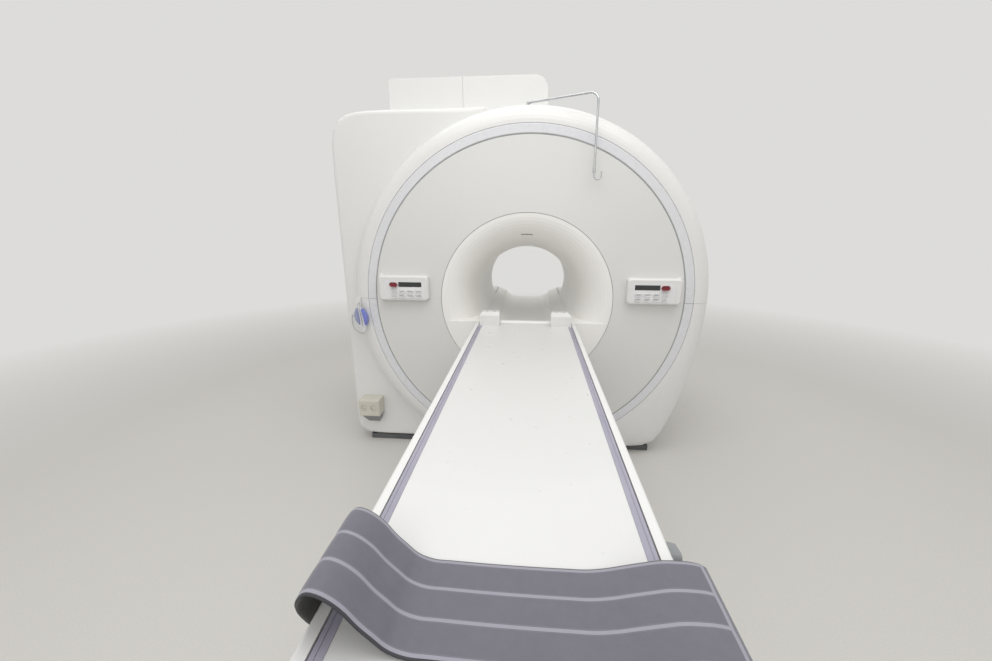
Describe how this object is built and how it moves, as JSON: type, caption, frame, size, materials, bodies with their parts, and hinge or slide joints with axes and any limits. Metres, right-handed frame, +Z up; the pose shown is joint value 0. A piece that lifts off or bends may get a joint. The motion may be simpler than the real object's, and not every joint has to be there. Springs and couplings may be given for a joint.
{
  "type": "mri scanner",
  "caption": "Whole-body MRI scanner with a round front panel, a flared patient tunnel, an offset side wing and a lifting couch docked in front of the magnet.",
  "frame": {"origin": "on the floor under the isocentre, at the centre of the magnet's four floor anchors", "axes": "+Z up; the bore runs along Y and the couch lies on the -Y side; +X is to the right for someone who looks into the bore from the couch"},
  "size_m": [2.328, 3.7303, 2.378],
  "materials": {
    "cover_white": "satin",
    "panel_grey": "satin",
    "ring_pale": "satin",
    "seal_dark": "matte",
    "funnel_white": "satin",
    "steel_grey": "satin",
    "base_dark": "matte",
    "bare_steel": "brushed",
    "coil_resin": "matte",
    "key_white": "matte",
    "display_black": "gloss",
    "stop_red": "gloss",
    "window_grey": "gloss",
    "top_white": "satin",
    "rail_grey": "matte",
    "strap_grey": "woven",
    "cushion_blue": "soft",
    "outlet_beige": "matte",
    "lever_grey": "matte",
    "lead_grey": "matte"
  },
  "bodies": {
    "gantry": {"saddles": "steel_grey", "plinth": "base_dark", "floor_duct": "steel_grey", "vacuum_vessel": "steel_grey", "cold_head": "steel_grey", "gradient_coil": "coil_resin", "rf_coil": "coil_resin", "bore_liner": "funnel_white", "bore_bridge": "funnel_white", "cover_frames": "steel_grey", "front_panel": "panel_grey", "panel_seal": "seal_dark", "front_funnel": "funnel_white", "rear_funnel": "funnel_white", "ring_halves": "ring_pale", "rim_upper": "cover_white", "rim_lower": "cover_white", "wing_cover": "cover_white", "side_skin_left": "cover_white", "side_skin_right": "cover_white", "top_skin": "cover_white", "rear_cover": "cover_white", "top_cover_left": "cover_white", "top_cover_right": "cover_white", "control_left": "cover_white", "control_right": "cover_white", "displays": "display_black", "keypads": "key_white", "alignment_window": "window_grey", "bore_camera": "cover_white", "drip_foot": "bare_steel", "headset_hook": "cover_white", "headset_band": "lever_grey", "ear_cups": "cushion_blue", "headset_tube": "lead_grey", "outlet_box": "outlet_beige", "outlet_boot": "lever_grey", "couch_base": "base_dark", "base_shroud": "cover_white", "pump_unit": "steel_grey"},
    "couch_stage": {"middle_tube": "bare_steel", "middle_shroud": "cover_white"},
    "couch_body": {"upper_shroud": "cover_white", "couch_chassis": "steel_grey", "side_covers": "cover_white", "foot_cover": "cover_white", "drive_motor": "steel_grey"},
    "couch_slide": {"couch_top": "top_white", "rail_strips": "rail_grey", "coil_sockets": "cover_white", "head_bar": "cover_white", "body_strap": "strap_grey"},
    "drive_roller": {"drive_roller": "bare_steel"},
    "middle_roller": {"middle_roller": "bare_steel"},
    "foot_roller": {"foot_roller": "bare_steel"},
    "release_lever": {"release_lever": "lever_grey"},
    "stop_left": {"stop_button_left": "stop_red"},
    "stop_right": {"stop_button_right": "stop_red"},
    "drip_arm": {"drip_arm": "bare_steel"},
    "drip_hook": {"drip_hook": "bare_steel"}
  },
  "joints": [
    {"name": "couch_lift", "type": "slide", "parent": "gantry", "child": "couch_body", "axis": [0, 0, 1], "range_m": [-0.4, 0]},
    {"name": "stage_lift", "type": "slide", "parent": "gantry", "child": "couch_stage", "axis": [0, 0, 1], "range_m": [-0.2, 0]},
    {"name": "top_slide", "type": "slide", "parent": "couch_body", "child": "couch_slide", "axis": [0, 1, 0], "range_m": [0, 1.6]},
    {"name": "drive_roller_spin", "type": "hinge", "parent": "couch_body", "child": "drive_roller", "pos_m": [0, -0.897, 0.8127], "axis": [-1, 0, 0], "range_deg": [0, 3060]},
    {"name": "middle_roller_spin", "type": "hinge", "parent": "couch_body", "child": "middle_roller", "pos_m": [0, -1.297, 0.8127], "axis": [-1, 0, 0], "range_deg": [0, 3060]},
    {"name": "foot_roller_spin", "type": "hinge", "parent": "couch_body", "child": "foot_roller", "pos_m": [0, -2.697, 0.8127], "axis": [-1, 0, 0], "range_deg": [0, 3060]},
    {"name": "lever_turn", "type": "hinge", "parent": "couch_body", "child": "release_lever", "pos_m": [0.3083, -2.512, 0.888], "axis": [1, 0, 0], "range_deg": [0, 40]},
    {"name": "stop_left_press", "type": "slide", "parent": "gantry", "child": "stop_left", "axis": [0, 1, 0], "range_m": [0, 0.004], "stiffness_N_per_m": 800, "springref_m": -0.003},
    {"name": "stop_right_press", "type": "slide", "parent": "gantry", "child": "stop_right", "axis": [0, 1, 0], "range_m": [0, 0.004], "stiffness_N_per_m": 800, "springref_m": -0.003},
    {"name": "drip_arm_turn", "type": "hinge", "parent": "gantry", "child": "drip_arm", "pos_m": [-0.01, -0.575, 2.197], "axis": [0, 0, 1], "range_deg": [-90, 0]},
    {"name": "drip_hook_turn", "type": "hinge", "parent": "drip_arm", "child": "drip_hook", "pos_m": [0.364, -0.76, 1.8237], "axis": [0, 0, 1], "continuous": true}
  ],
  "couplings": [
    {"joint": "stage_lift", "follows": "couch_lift", "ratio": 0.5},
    {"joint": "drive_roller_spin", "follows": "top_slide", "rad_per_m": 33.333},
    {"joint": "middle_roller_spin", "follows": "top_slide", "rad_per_m": 33.333},
    {"joint": "foot_roller_spin", "follows": "top_slide", "rad_per_m": 33.333}
  ]
}
